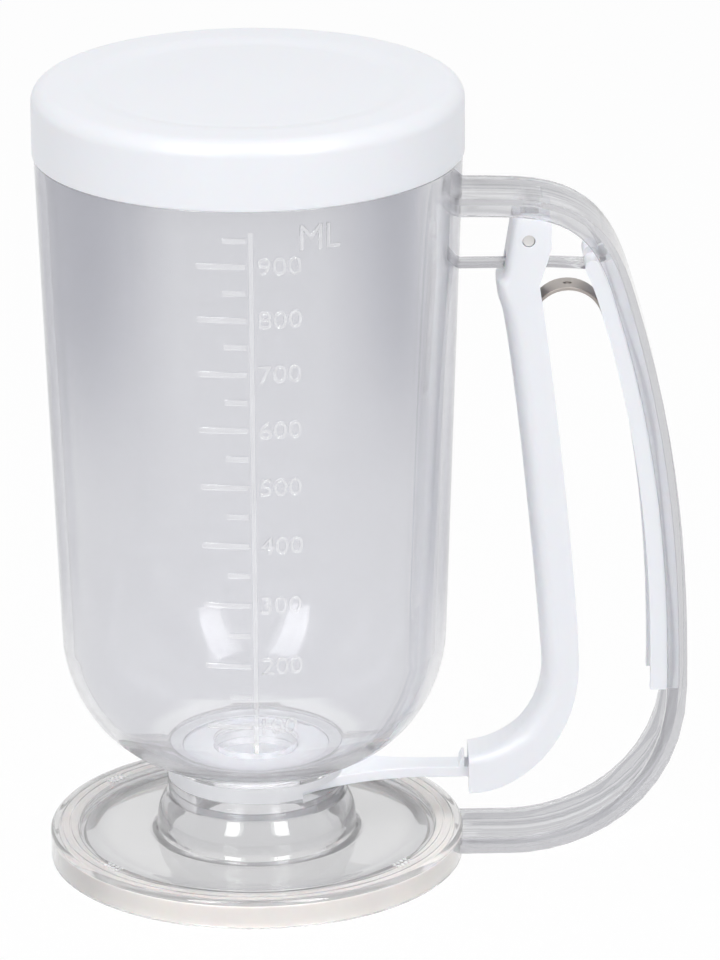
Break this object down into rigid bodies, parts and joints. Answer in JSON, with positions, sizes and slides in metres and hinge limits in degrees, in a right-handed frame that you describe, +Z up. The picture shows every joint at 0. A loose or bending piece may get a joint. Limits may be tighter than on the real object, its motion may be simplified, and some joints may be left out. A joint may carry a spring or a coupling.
{
  "type": "pancake batter dispenser",
  "caption": "Clear graduated batter cup with push-on lid, flared stand, U-channel handle, sprung squeeze trigger and a slide valve under the outlet.",
  "frame": {"origin": "on the cup axis, in the plane that the foot ring stands on", "axes": "+Z up along the cup, +X from the cup towards the handle, so the trigger is pulled along +X"},
  "size_m": [0.157, 0.1032, 0.1971],
  "materials": {
    "clear_plastic": "clear polished plastic",
    "white_plastic": "satin white moulded plastic",
    "milky_rubber": "soft translucent milky rubber",
    "steel": "bare spring steel"
  },
  "bodies": {
    "dispenser": {"cup": "clear_plastic", "valve_housing": "clear_plastic", "base_stand": "clear_plastic", "foot_ring": "milky_rubber", "handle": "clear_plastic", "grip_liner": "white_plastic", "pivot_pin": "steel", "leaf_spring": "steel"},
    "lid": {"lid": "white_plastic"},
    "trigger": {"trigger": "white_plastic"},
    "valve_slide": {"valve_slide": "white_plastic"}
  },
  "joints": [
    {"name": "lid_lift", "type": "slide", "parent": "dispenser", "child": "lid", "axis": [0, 0, 1], "range_m": [0, 0.03]},
    {"name": "trigger_pull", "type": "hinge", "parent": "dispenser", "child": "trigger", "pos_m": [0.0666, 0, 0.1587], "axis": [0, -1, 0], "range_deg": [0, 8.5], "stiffness_Nm_per_rad": 1.5, "springref_deg": -8.59, "deforming": ["leaf_spring"]},
    {"name": "valve_pull", "type": "slide", "parent": "dispenser", "child": "valve_slide", "axis": [1, 0, 0], "range_m": [0, 0.0206]}
  ],
  "couplings": [
    {"joint": "valve_pull", "follows": "trigger_pull", "m_per_rad": 0.1375}
  ]
}
